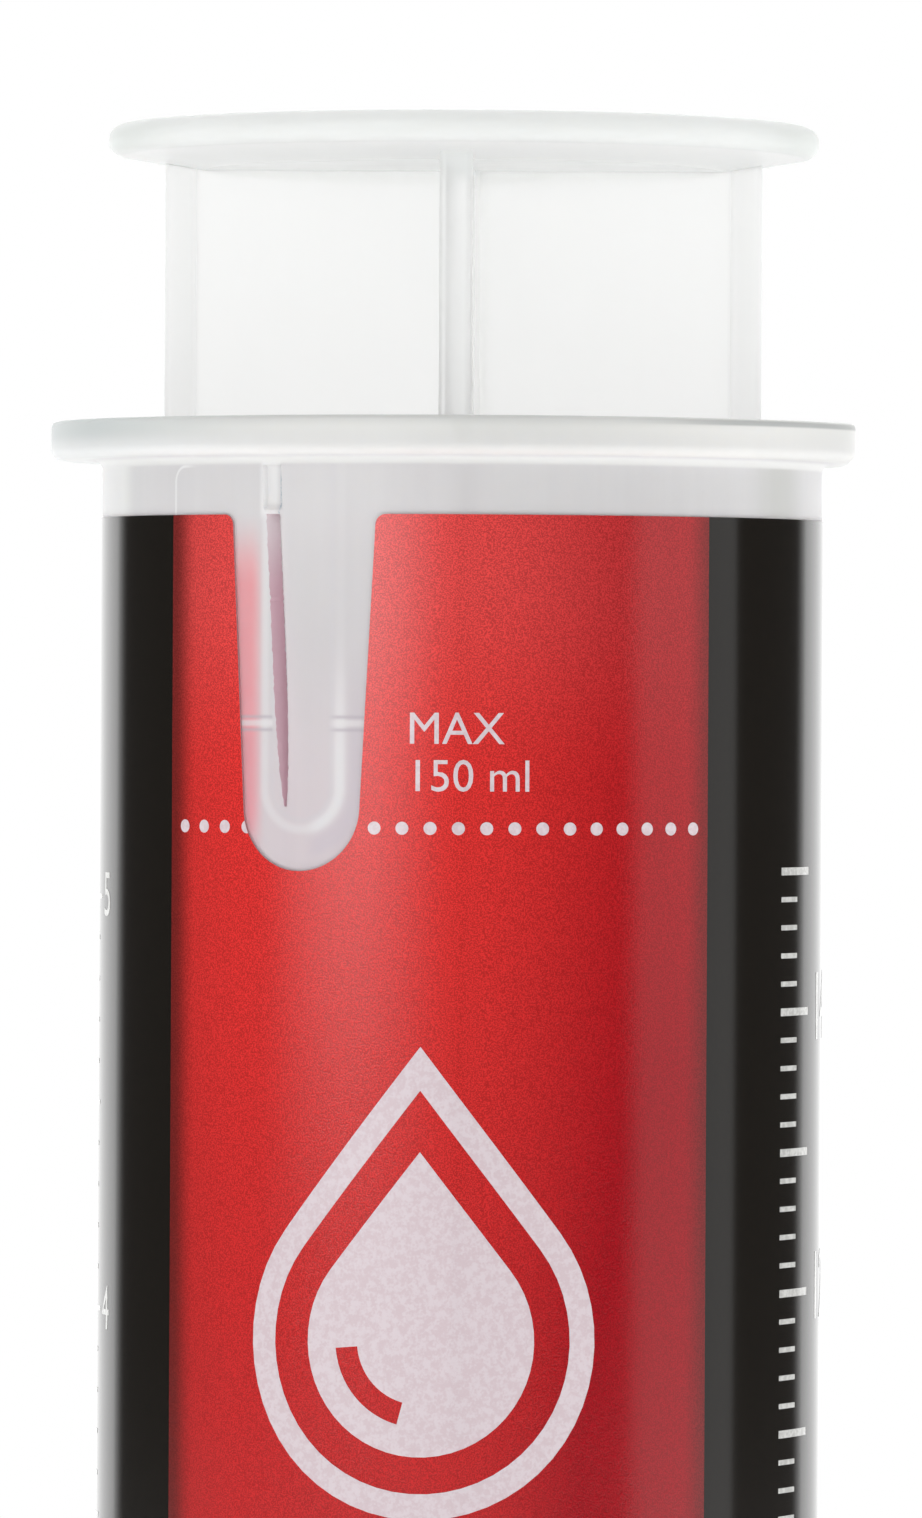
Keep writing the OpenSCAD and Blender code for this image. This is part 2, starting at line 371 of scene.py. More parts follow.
# Painted light from the film in the bore
BORE_FILM_LIGHT = (0.97, 0.84, 0.89)
BORE_RED_LIGHT = (0.95, 0.60, 0.68)
# Painted shade on the lower stem, down in the barrel
ROD_LOW_SHADE = (0.80, 0.815, 0.805)
ROD_BEAD = (0.83, 0.84, 0.83)
PLATE_TOP = (0.87, 0.885, 0.875)
PLATE_RIM_FRONT = (0.80, 0.83, 0.81)
# Painted shade at the sides of the plate's rim
PLATE_RIM_SIDE_SHADE = (0.58, 0.615, 0.595)
BRIGHT_RED = (0.74, 0.036, 0.032)
DEEP_RED = (0.36, 0.003, 0.009)
RED_EDGE = (0.10, 0.012, 0.010)
BLACK_INK = (0.0125, 0.0100, 0.0075)
CUT_FILM = (0.45, 0.30, 0.32)
PAPER_DARK = (0.84, 0.84, 0.835)
PAPER_PALE = (0.88, 0.88, 0.875)

PLASTIC_IOR = 1.49
FILM_IOR = 1.5
RUBBER_IOR = 1.52


# Painted light and shade in the barrel's plastic

def red_light(tree, angle, z, wall):
    """Painted red light that has come through the film: a glow left of the slit, and a painted pink tint
    of it, more lower down.
    """
    rise = spread(tree, z, FILM_TOP_Z + 0.3, FILM_TOP_Z - 4.5)
    foot = spread(tree, z, CUTOUT_FOOT_Z, CUTOUT_FOOT_Z + 3.5)
    off_slit = spread(tree, angle, low=-31.8, high=-35.0)
    near = window(tree, angle, low=-44.0, high=-30.0, soft=0.5)
    tinted = window(tree, angle, low=-60.0, high=5.0, soft=3.0)
    growing = spread(tree, z, FILM_TOP_Z - 3.0, CUTOUT_FOOT_Z, to_low=0.012, to_high=0.16)
    return [(RED_LIGHT, FULL, off_slit, near, rise, foot, wall), (PINK_FILM_LIGHT, FULL, tinted, wall, growing)]


def from_groove(tree, angle, z):
    """Millimetres across the groove from its middle, and away from its middle line, also below its end."""
    across = along_wall(tree, angle, GROOVE_ANGLE)
    below = math_node(tree, "MINIMUM", math_node(tree, "SUBTRACT", z, GROOVE_END_Z), 0.0)
    return across, flat_length(tree, across, below)


def groove_marks(tree, z, wall, across, away):
    """Painted light and shade where the groove's sides and rounded foot show through the wall: lighter
    sides with a thin painted line inside them. The right side fades towards the top, and a painted
    highlight and a painted shade lie round the lower right."""

    def along_side(first, last, soft):
        return window(tree, away, GROOVE_HALF_W + first, GROOVE_HALF_W + last, soft)

    left_half = spread(tree, across, low=0.0, high=-0.5)
    fading = spread(tree, z, FILM_TOP_Z - 4.0, FILM_TOP_Z - 14.0, to_low=0.25)
    shown = math_node(tree, "MAXIMUM", left_half, fading)
    low = spread(tree, z, GROOVE_END_Z + 9.0, GROOVE_END_Z + 1.0)
    low_right = product(tree, spread(tree, across, low=0.0, high=1.2), low)
    sides = along_side(first=-0.35, last=0.15, soft=0.2)
    painted_highlight = along_side(first=-0.5, last=0.25, soft=0.3)
    shade = along_side(first=0.45, last=1.5, soft=0.35)
    inner_line = along_side(first=-0.75, last=-0.45, soft=0.15)
    return [
        (GROOVE_SIDE_LIGHT, 0.4, sides, shown, wall), (GROOVE_HIGHLIGHT, 0.5, painted_highlight, low_right, wall),
        (GROOVE_SHADE, 0.35, shade, low_right, wall), (GROOVE_LINE, 0.3, inner_line, wall)]


def step_marks(tree, angle, z, wall, away):
    """Painted shade and light where the step at the foot of the mouth shows through the wall, outside the
    groove: two painted shade lines with a painted pale strip between them.
    """
    right_of_slit = spread(tree, angle, SLIT_ANGLE + 0.2, SLIT_ANGLE + 0.6)
    left_of_slit = math_node(tree, "SUBTRACT", 1.0, right_of_slit)
    past_side = spread(tree, away, GROOVE_HALF_W - 0.9, GROOVE_HALF_W - 0.2)
    outside = math_node(tree, "MAXIMUM", left_of_slit, past_side)
    upper_line, lower_line, half_line = 0.19, MOUTH_TAPER + 0.03, 0.08
    layers = []
    for depth in (upper_line, lower_line):
        line_z = MOUTH_FOOT_Z - depth
        line = window(tree, z, line_z - half_line, line_z + half_line, soft=0.1)
        layers.append((STEP_SHADE_LINE, 0.7, line, outside, wall))
    strip = window(tree, z, MOUTH_FOOT_Z - 0.72, MOUTH_FOOT_Z - 0.38, soft=0.1)
    return layers + [(STEP_LIGHT, 0.6, strip, outside, wall)]


def notch_marks(tree, angle, z):
    """Painted light that makes the notch above the slit white, and a rough fine painted shade line down
    its right side.
    """
    notch = window(tree, angle, SLIT_ANGLE - 2.0, SLIT_ANGLE + 0.8, soft=0.5)
    notch_height = window(tree, z, FILM_TOP_Z - 0.1, FILM_TOP_Z + 2.9, soft=0.3)
    line = window(tree, angle, SLIT_ANGLE + 1.25, SLIT_ANGLE + 1.55, soft=0.1)
    line_height = window(tree, z, FILM_TOP_Z - 0.6, FILM_TOP_Z + 2.3, soft=0.3)
    rough = spread(tree, noise(tree, size=0.12, detail=1.0), low=0.35, high=0.6, to_low=0.25)
    return [(WHITE, 0.5, notch, notch_height), (NOTCH_SHADE_LINE, 0.85, line, line_height, rough)]


def clear_edge_mark(tree, angle, z, wall):
    """Painted highlight on the edge of the clear film above the print: its left side and rounded corner.
    """
    corner_angle, corner_z = RED_FROM + 2.6, FILM_TOP_Z + 1.9
    x = along_wall(tree, angle, corner_angle)
    left = math_node(tree, "MINIMUM", x, 0.0)
    above = math_node(tree, "MAXIMUM", math_node(tree, "SUBTRACT", z, corner_z), 0.0)
    line = window(tree, flat_length(tree, left, above), low=0.82, high=0.96, soft=0.06)
    left_part = spread(tree, x, low=1.2, high=-0.2)
    over_print = window(tree, z, FILM_TOP_Z - 0.2, FILM_TOP_Z + 3.2, soft=0.1)
    return [(WHITE, 0.75, line, left_part, over_print, wall)]


def band_marks(tree, angle, z, wall):
    """Bare band above the film: painted light makes it paler at its left end, and painted shade makes it
    greyer before its right end.
    """
    band = product(tree, wall, spread(tree, z, FILM_TOP_Z - 0.5, FILM_TOP_Z + 0.2))
    lit_end = window(tree, angle, low=-95.0, high=-66.5, soft=3.0)
    shaded_end = window(tree, angle, low=55.0, high=66.0, soft=5.0)
    return [(BAND_LIGHT, 0.8, band, lit_end), (BAND_SHADE, 0.6, band, shaded_end)]


def flange_marks(tree, angle, z, radius):
    """Painted light and shade on the flange: paler to the right, darker to the left, with a grey upper
    edge of painted shade, a painted dark reflection along the brim, and a pale foot and root of painted
    light.
    """
    at_right = window(tree, angle, low=30.0, high=52.0, soft=20.0)
    at_left = spread(tree, angle, low=-25.0, high=-65.0)
    tone = mix(tree, at_left, mix(tree, at_right, FLANGE_FRONT_LIT, FLANGE_RIGHT_LIT), FLANGE_LEFT_SHADED)
    outer = spread(tree, radius, BARREL_R + 0.7, BARREL_R + 1.2)
    upper = spread(tree, z, FLANGE_TOP_Z - 1.6, FLANGE_TOP_Z - 0.5, to_low=0.55)
    top = spread(tree, z, FLANGE_TOP_Z - 0.75, FLANGE_TOP_Z)
    front = window(tree, angle, low=-42.0, high=42.0, soft=15.0)
    foot = spread(tree, z, FLANGE_TOP_Z - 0.8, FLANGE_TOP_Z - 1.9)
    left_half = spread(tree, angle, low=-15.0, high=-55.0)
    brim = window(tree, z, FLANGE_TOP_Z - 0.4, FLANGE_TOP_Z - 0.08, soft=0.08)
    outermost = spread(tree, radius, FLANGE_R - 0.7, FLANGE_R - 0.4)
    right_side = window(tree, angle, low=32.0, high=80.0, soft=12.0)
    root = window(tree, z, FLANGE_UNDER_Z - 0.5, FLANGE_UNDER_Z - 0.1, soft=0.1)
    return [
        (tone, FULL, outer, upper), (FLANGE_TOP, 0.4, outer, top, front),
        (FLANGE_FOOT_LIGHT, 0.42, outer, foot, left_half), (BRIM_DARK_REFLECTION, 0.7, brim, outermost, right_side),
        (FLANGE_ROOT_LIGHT, FULL, root)]


def bore_marks(tree, angle, z, radius):
    """Bore with painted light from the film outside it, most behind the red panel."""
    inside = window(tree, radius, BORE_R - 0.2, GROOVE_R + 0.08, soft=0.06)
    bore = product(tree, inside, window(tree, z, FILM_FOOT_Z, FILM_TOP_Z, soft=1.0))
    behind_red = window(tree, angle, RED_FROM, RED_TO, soft=3.0)
    return [(BORE_FILM_LIGHT, FULL, bore), (BORE_RED_LIGHT, 0.75, bore, behind_red)]


def barrel_marks(tree, colour):
    """Colour of the barrel with painted light and shade where the wall's thickness, the film's red light
    or an edge shows in it.
    """
    angle, z, radius = round_place(tree)
    wall = window(tree, radius, BARREL_R - 0.1, BARREL_R + 0.1, soft=0.03)
    across, away = from_groove(tree, angle, z)
    layers = red_light(tree, angle, z, wall) + groove_marks(tree, z, wall, across, away)
    layers += step_marks(tree, angle, z, wall, away) + notch_marks(tree, angle, z)
    layers += clear_edge_mark(tree, angle, z, wall) + band_marks(tree, angle, z, wall)
    layers += flange_marks(tree, angle, z, radius) + bore_marks(tree, angle, z, radius)
    return paint(tree, colour, layers)


def barrel_clearness(tree):
    """Clear share of the barrel: most at the wall's outside, less in the flange and least in the bore."""
    flange_share = 0.08
    radius = from_axis(tree)
    wall = spread(tree, radius, GROOVE_R, BARREL_R - 0.05, to_low=0.03, to_high=0.15)
    in_flange = spread(tree, radius, BARREL_R + 0.1, BARREL_R + 0.8)
    return blend(tree, in_flange, wall, flange_share)


# Tones and painted shade in the rod's plastic

def rod_places(tree):
    """Shares of the lower stem, the ribs' beads, the thumb plate, its top and its rim, and the angle."""
    angle, z, radius = round_place(tree)
    low = spread(tree, z, FLANGE_TOP_Z, FLANGE_TOP_Z - STEM_FADE)
    bead = spread(tree, radius, STEM_R - BEAD_DEPTH - 0.3, STEM_R - BEAD_DEPTH)
    plate = spread(tree, z, PLATE_UNDER_Z - 0.6, PLATE_UNDER_Z + 0.4)
    top = spread(tree, z, PLATE_UNDER_Z + 0.5, PLATE_UNDER_Z + 1.1)
    rim = spread(tree, radius, PLATE_FLAT_R - 0.5, PLATE_FLAT_R + 0.3)
    return low, bead, plate, top, rim, angle


def rod_clearness(tree):
    """Clear share of the rod: most in the upper webs, less further down and under the thumb plate, and
    least on the plate's top and rim."""
    upper_web, lower_web, bead_share = 0.76, 0.4, 0.9
    under_plate, on_plate, on_rim = 0.45, 0.12, 0.08
    low, bead, plate, top, rim, _ = rod_places(tree)
    stem = product(tree, blend(tree, low, upper_web, lower_web), blend(tree, bead, 1.0, bead_share))
    flat = blend(tree, top, under_plate, on_plate)
    return blend(tree, plate, stem, blend(tree, rim, flat, on_rim))


def rod_marks(tree, colour):
    """Colour of the rod: painted shade makes the lower stem, down in the barrel, greyer; the ribs' beads
    and the plate's top and thick rim are greyer too, and painted shade makes the rim greyer still at the
    sides.
    """
    low, bead, plate, top, rim, angle = rod_places(tree)
    on_stem = math_node(tree, "SUBTRACT", 1.0, plate)
    at_side = spread(tree, math_node(tree, "ABSOLUTE", angle), low=45.0, high=80.0)
    rim_tone = mix(tree, at_side, PLATE_RIM_FRONT, PLATE_RIM_SIDE_SHADE)
    return paint(tree, colour, [
        (ROD_LOW_SHADE, FULL, low), (ROD_BEAD, 0.4, bead, on_stem), (PLATE_TOP, FULL, top),
        (rim_tone, FULL, rim, plate)])


# Materials

def natural_plastic(name, clear, cloudy, depth_mm, roughness, skin_gloss, refraction, see_through, marks):
    """Milky polypropylene: light goes some way into it, with faint clouds and flow lines. see_through
    gives the clear share, and light that is inside always gets out. Where the refraction is too weak
    for any gloss, skin_gloss brings it back."""
    material, tree, shader = start_material(name)
    uneven = 0.07
    clouds = noise(tree, size=9.0)
    flow = noise(tree, size=1.2, stretch=(1.0, 1.0, 0.06))
    skin = noise(tree, size=0.35)
    cloudiness = spread(tree, math_node(tree, "ADD", clouds, flow), 0.6, 1.4)
    normal = bump(tree, skin, strength=0.05, distance_mm=0.02)
    normal = bump(tree, flow, strength=0.06, distance_mm=0.05, base=normal)
    leaving = add_node(tree, "ShaderNodeNewGeometry").outputs["Backfacing"]
    # marks paints the colour, with the part's painted light and shade
    set_shader(
        tree, shader, Base_Color=marks(tree, mix(tree, cloudiness, clear, cloudy)), Normal=normal,
        Roughness=spread(tree, clouds, 0.3, 0.7, roughness, roughness + uneven), IOR=refraction,
        Coat_Weight=skin_gloss, Coat_Roughness=roughness, Coat_IOR=PLASTIC_IOR,
        Subsurface_Weight=1.0, Subsurface_Radius=(1.0, 0.97, 0.93), Subsurface_Scale=depth_mm * MM,
        Transmission_Weight=math_node(tree, "MAXIMUM", see_through(tree), leaving))
    return material


def cut_plastic(name, upper, lower):
    """Rough cut face of the same plastic, with pink light from the film painted on it, stronger below the
    film's edge.
    """
    material, tree, shader = start_material(name)
    _, z, _ = round_place(tree)
    fade = 5.0
    tears = noise(tree, size=0.4, detail=3.0, stretch=(1.0, 1.0, 0.3))
    set_shader(
        tree, shader, Base_Color=mix(tree, spread(tree, z, FILM_TOP_Z, FILM_TOP_Z - fade), upper, lower),
        Normal=bump(tree, tears, strength=0.3, distance_mm=0.05),
        Roughness=spread(tree, tears, 0.3, 0.7, to_low=0.45, to_high=0.6), IOR=PLASTIC_IOR)
    return material


def film_print(name, ink, grain_share, grain_height):
    """Ink under a clear glossy film, with the fine grain of the print, lighter and darker by grain_share.
    The ink is one colour or a function that shades it."""
    material, tree, shader = start_material(name)
    grain = noise(tree, size=0.085, detail=1.0)
    tone = ink(tree) if callable(ink) else ink
    level = spread(tree, grain, 0.36, 0.64, 1.0 - grain_share, 1.0 + grain_share)
    grainy = add_node(tree, "ShaderNodeVectorMath", [(0, tone), ("Scale", level)], operation="SCALE")
    set_shader(
        tree, shader, Base_Color=grainy.outputs[0],
        Normal=bump(tree, grain, grain_height, distance_mm=0.03), Roughness=0.12, IOR=FILM_IOR)
    return material


def red_shading(tree):
    """Red of the front panel: darker to the right, to the foot and at its two upright edges, with a
    painted white sheen near the top."""
    angle, z, _ = round_place(tree)
    to_right = spread(tree, angle, low=-4.0, high=34.0, to_high=0.78)
    to_foot = spread(tree, z, FILM_TOP_Z - 6.0, FILM_TOP_Z - 62.0, to_high=0.5)
    tone = mix(tree, math_node(tree, "ADD", to_right, to_foot), BRIGHT_RED, DEEP_RED)
    # Painted white sheen near the top, less at the right
    painted_sheen = spread(tree, z, FILM_TOP_Z - 16.0, FILM_TOP_Z - 3.0, to_high=0.035)
    less_at_right = spread(tree, angle, low=40.0, high=-6.0, to_low=0.3)
    left = spread(tree, angle, RED_FROM + 0.8, RED_FROM + 6.0, to_low=0.65, to_high=0.0)
    left_wide = spread(tree, angle, RED_FROM, RED_FROM + 16.0, to_low=0.2, to_high=0.0)
    right = spread(tree, angle, RED_TO - 5.0, RED_TO, to_high=0.6)
    edges = math_node(tree, "ADD", math_node(tree, "ADD", left, left_wide), right)
    return paint(tree, tone, [(WHITE, FULL, painted_sheen, less_at_right), (RED_EDGE, FULL, edges)])


def white_ink(name, full, thin):
    """White print that doesn't quite cover what is under it."""
    material, tree, shader = start_material(name)
    grain_part = 0.6
    cover = noise(tree, size=0.45)
    grain = noise(tree, size=0.16, detail=1.0)
    uneven = math_node(tree, "ADD", cover, product(tree, grain, grain_part))
    set_shader(
        tree, shader, Base_Color=mix(tree, spread(tree, uneven, 0.65, 0.95), full, thin),
        Normal=bump(tree, grain, strength=0.15, distance_mm=0.02), Roughness=0.2, IOR=FILM_IOR)
    return material


def rubber(name, dark, worn):
    """Dark moulded rubber with a fine matt skin and a little oil."""
    material, tree, shader = start_material(name)
    patches = noise(tree, size=4.0, detail=3.0)
    skin = noise(tree, size=0.25, detail=3.0)
    set_shader(
        tree, shader, Base_Color=mix(tree, patches, dark, worn),
        Roughness=spread(tree, patches, 0.3, 0.7, to_low=0.42, to_high=0.62),
        Normal=bump(tree, skin, strength=0.25, distance_mm=0.05), IOR=RUBBER_IOR)
    return material


BARREL_PLASTIC = natural_plastic(
    "barrel_plastic", clear=(0.80, 0.795, 0.80), cloudy=(0.765, 0.76, 0.767), depth_mm=0.4, roughness=0.46,
    skin_gloss=0.0, refraction=PLASTIC_IOR, see_through=barrel_clearness, marks=barrel_marks)
# Slit's cut faces, with painted pink light from the film
SLIT_PLASTIC = cut_plastic("slit_plastic", upper=(0.88, 0.78, 0.815), lower=(0.80, 0.55, 0.63))
ROD_PLASTIC = natural_plastic(
    "rod_plastic", clear=(0.985, 0.99, 0.98), cloudy=(0.97, 0.975, 0.965), depth_mm=5.0, roughness=0.3,
    skin_gloss=0.2, refraction=1.1, see_through=rod_clearness, marks=rod_marks)
RED_FILM = film_print("red_film", red_shading, grain_share=0.22, grain_height=0.22)
BLACK_FILM = film_print("black_film", BLACK_INK, grain_share=0.25, grain_height=0.03)
FILM_EDGE = film_print("film_edge", CUT_FILM, grain_share=0.1, grain_height=0.1)
RED_SIDE_WHITE = white_ink("white_on_red", full=(0.80, 0.70, 0.74), thin=(0.74, 0.61, 0.65))
BLACK_SIDE_WHITE = white_ink("white_on_black", full=(0.72, 0.72, 0.70), thin=(0.55, 0.55, 0.53))
STOPPER_RUBBER = rubber("stopper_rubber_skin", dark=(0.018, 0.018, 0.020), worn=(0.034, 0.033, 0.033))


# Barrel

def rough_edge(z, seed):
    """Small sideways error of a torn edge at a height: waves of (rate, size), stronger in patches."""
    waves = ((5.3, 0.03), (13.7, 0.03), (31.1, 0.02), (47.9, 0.015))
    least, patch_rate = 0.4, 1.9
    patchy = least + (1.0 - least) * math.sin(patch_rate * z + seed) ** 2
    return patchy * sum(size * math.sin(rate * z + seed * rate) for rate, size in waves)


def slit_edges(z):
    """Angles of the slit's left and right edges at a height."""
    taper_power, right_roughness = 6, 0.6
    share = min(max((FILLET_Z - z) / (FILLET_Z - SLIT_FOOT_Z), 0.0), 1.0)
    middle = SLIT_LEAN * share
    half = (SLIT_W + (SLIT_FOOT_W - SLIT_W) * share ** taper_power) / 2
    above_foot = smooth_step(SLIT_FOOT_Z - 0.5, SLIT_FOOT_Z + 1.0, z)
    inside = above_foot * smooth_step(FILLET_Z + 0.4, FILLET_Z - 0.6, z)
    left = middle - half + rough_edge(z, seed=1.3) * inside
    right = middle + half + right_roughness * rough_edge(z, seed=4.1) * inside
    right = max(right, left + SLIT_FOOT_W / 2)
    return [SLIT_ANGLE + math.degrees(math.asin(x / BARREL_R)) for x in (left, right)]


def vent_columns(z, side):
    """Angles of the barrel's mesh columns at a height: fine and following the slit at the vent."""
    skew = SLIT_SKEW if side == "in" else 0.0
    left, right = [edge + skew for edge in slit_edges(z)]
    beside_left = between(FINE_FROM, left, VENT_LEFT_COLUMNS)
    beside_right = between(right, FINE_TO, VENT_RIGHT_COLUMNS)
    coarse = between(FINE_TO, FINE_FROM + 360.0, COARSE_COLUMNS)[1:-1]
    return beside_left + beside_right + coarse


def groove_share(angle, z):
    """1 on the vent groove's floor, 0 outside it, with soft sides."""
    across = math.radians(angle - GROOVE_ANGLE) * BORE_R
    away = abs(across) if z > GROOVE_END_Z else math.hypot(across, z - GROOVE_END_Z)
    return smooth_step(GROOVE_HALF_W + GROOVE_SOFT, GROOVE_HALF_W - GROOVE_SOFT, away)


def floor_z(radius):
    """Height of the bore's sloping floor."""
    return END_WALL + (radius - SEAT_R) * math.tan(math.radians(END_SLOPE))


def bore_radius(z):
    """Radius of the bore at a height: wider in the mouth."""
    return BORE_R + (MOUTH_R - BORE_R) * smooth_step(MOUTH_FOOT_Z - MOUTH_TAPER, MOUTH_FOOT_Z, z)


def barrel_section():
    """Closed section of the barrel's wall: (radius, height, side) from the tip up outside, down inside."""
    slope = math.radians(END_SLOPE)
    heel_x = BARREL_R - HEEL_R
    heel_z = (heel_x - SEAT_R) * math.tan(slope) + HEEL_R / math.cos(slope)
    edge_x = FLANGE_R - FLANGE_EDGE_R
    fillet_x = BARREL_R + FLANGE_FILLET_R
    mouth_edge_z = FLANGE_TOP_Z - MOUTH_EDGE_R
    vent_levels = between(VENT_FOOT_Z, FILLET_Z, VENT_ROWS)

    outside = [(PASSAGE_R, NOZZLE_TIP_Z), (NOZZLE_TIP_R - NOZZLE_BEVEL, NOZZLE_TIP_Z)]
    outside += [(NOZZLE_TIP_R, NOZZLE_TIP_Z + NOZZLE_BEVEL), (NOZZLE_R, -NOZZLE_LAND)]
    outside += [(NOZZLE_R, 0.0), (SEAT_R, 0.0)]
    outside += arc(heel_x, heel_z, HEEL_R, END_SLOPE - 90.0, 0.0, HEEL_STEPS)
    outside += [(BARREL_R, z) for z in between(heel_z, VENT_FOOT_Z, WALL_ROWS)[1:-1]]
    outside += [(BARREL_R, z) for z in vent_levels]
    outside += arc(fillet_x, FILLET_Z, FLANGE_FILLET_R, 180.0, 90.0, EDGE_STEPS)[1:]
    outside += arc(edge_x, FLANGE_UNDER_Z + FLANGE_EDGE_R, FLANGE_EDGE_R, -90.0, 0.0, EDGE_STEPS)
    outside += arc(FLANGE_R - BRIM_R, FLANGE_TOP_Z - BRIM_R, BRIM_R, 0.0, 90.0, EDGE_STEPS)

    inside = arc(MOUTH_R + MOUTH_EDGE_R, mouth_edge_z, MOUTH_EDGE_R, 90.0, 180.0, MOUTH_EDGE_STEPS)
    inside += [(MOUTH_R, z) for z in between(mouth_edge_z, FILLET_Z, MOUTH_ROWS)[1:-1]]
    inside += [(bore_radius(z), z) for z in reversed(vent_levels)]
    inside += [(BORE_R, z) for z in between(VENT_FOOT_Z, floor_z(BORE_R), WALL_ROWS)[1:]]
    inside += [(PASSAGE_R, floor_z(PASSAGE_R))]
    return [(r, z, "out") for r, z in outside] + [(r, z, "in") for r, z in inside]


def flange_reach(angle):
    """Distance of the flange's edge from the axis: less along its flat side at +X."""
    across = math.sin(math.radians(angle))
    return min(FLANGE_R, FLANGE_FLAT_X / across) if across > 0.0 else FLANGE_R


def barrel_point(radius, z, side, angle, column):
    """Point of the barrel's mesh, with the groove, the flange's flat side and the notch above the slit."""
    if side == "in" and z > VENT_FOOT_Z and radius < GROOVE_R:
        radius += (GROOVE_R - radius) * groove_share(angle, z)
    flange_root_r = BARREL_R + FLANGE_FILLET_R
    if radius > flange_root_r and z > FLANGE_UNDER_Z - TINY:
        reach = (radius - flange_root_r) / (FLANGE_R - flange_root_r)
        radius = flange_root_r + reach * (flange_reach(angle) - flange_root_r)
    if side == "out" and column in (SLIT_COLUMN, SLIT_COLUMN + 1) and radius < BARREL_R + TINY:
        start = smooth_step(SLIT_TOP_Z + 0.02, SLIT_TOP_Z + 0.3, z)
        radius -= SLIT_NOTCH * start * smooth_step(FILLET_Z + 0.3, FILLET_Z - 0.1, z)
    return around(radius, angle, z)


def in_slit(radius, z):
    """Whether a point of the section lies on the wall at the slit's height."""
    return BORE_R - 1 < radius < BARREL_R + TINY and SLIT_FOOT_Z <= z <= SLIT_TOP_Z


def slit_faces(section, open_rows, width):
    """Faces of the slit's two sides and two ends, through the wall."""
    outer = [row for row in open_rows if section[row][2] == "out"]
    inner = [row for row in open_rows if section[row][2] == "in"]
    outer_levels = outer + [outer[-1] + 1]
    inner_levels = list(reversed(inner + [inner[-1] + 1]))
    left, right = SLIT_COLUMN, SLIT_COLUMN + 1
    faces = []
    for i in range(len(outer_levels) - 1):
        out_low, out_high = outer_levels[i] * width, outer_levels[i + 1] * width
        in_low, in_high = inner_levels[i] * width, inner_levels[i + 1] * width
        faces.append((out_low + left, out_high + left, in_high + left, in_low + left))
        faces.append((out_high + right, out_low + right, in_low + right, in_high + right))
    for level, turned in ((0, False), (-1, True)):
        out_row, in_row = outer_levels[level] * width, inner_levels[level] * width
        cap = (out_row + right, out_row + left, in_row + left, in_row + right)
        faces.append(tuple(reversed(cap)) if turned else cap)
    return faces


def make_barrel():
    """Barrel as one closed mesh: the section turned round the axis, with the slit left open."""
    section = barrel_section()
    points = []
    for radius, z, side in section:
        for column, angle in enumerate(vent_columns(z, side)):
            points.append(barrel_point(radius, z, side, angle, column))
    rows = len(section)
    width = len(points) // rows

    wall = []
    open_rows = []
    for row in range(rows):
        above = (row + 1) % rows
        slit_here = in_slit(*section[row][:2]) and in_slit(*section[above][:2])
        if slit_here:
            open_rows.append(row)
        low, high = row * width, above * width
        for column in range(width):
            right = (column + 1) % width
            if slit_here and column == SLIT_COLUMN:
                continue
            wall.append((low + column, low + right, high + right, high + column))
    cut = slit_faces(section, open_rows, width)
    looks = [0] * len(wall) + [1] * len(cut)
    return add_piece("barrel_shell", points, wall + cut, [BARREL_PLASTIC, SLIT_PLASTIC], looks)


barrel = make_barrel()
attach(barrel, "barrel")
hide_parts("barrel")


# Film with its cut-out

def cutout_half():
    """Right half of the cut-out's outline, from its rounded upper corner to the middle of its foot."""
    corner_steps, foot_steps, side_rows = 9, 25, 14
    taper = math.radians(CUTOUT_TAPER)
    corner_z = FILM_TOP_Z - CUTOUT_CORNER_R

    def side_x(z):
        return CUTOUT_R / math.cos(taper) + (z - CUTOUT_CENTRE_Z) * math.tan(taper)

    corner_x = side_x(corner_z) + CUTOUT_CORNER_R / math.cos(taper)
    corner = arc(corner_x, corner_z, CUTOUT_CORNER_R, 90.0, 180.0 - CUTOUT_TAPER, corner_steps)
    foot = arc(0.0, CUTOUT_CENTRE_Z, CUTOUT_R, -CUTOUT_TAPER, -90.0, foot_steps)
    side_zs = between(corner[-1][1], foot[0][1], side_rows)[1:-1]
    return corner + [(side_x(z), z) for z in side_zs] + foot


def film_columns():
    """(angle, top height) of the film's mesh columns from its start to its end."""
    half = cutout_half()
    outline = [(-x, z) for x, z in half] + [(x, z) for x, z in reversed(half)][1:]
    vent = [(CUTOUT_ANGLE + math.degrees(math.asin(x / FILM_OUTER_R)), z) for x, z in outline]
    stops = [(FILM_START, RED_FROM), (RED_FROM, vent[0][0]), (vent[-1][0], RED_TO), (RED_TO, FILM_END)]
    runs = []
    for first, last in stops:
        count = max(2, round((last - first) / FILM_COLUMN_STEP) + 1)
        runs.append([(angle, FILM_TOP_Z) for angle in between(first, last, count)])
    return runs[0] + runs[1][1:-1] + vent + runs[2][1:] + runs[3][1:]


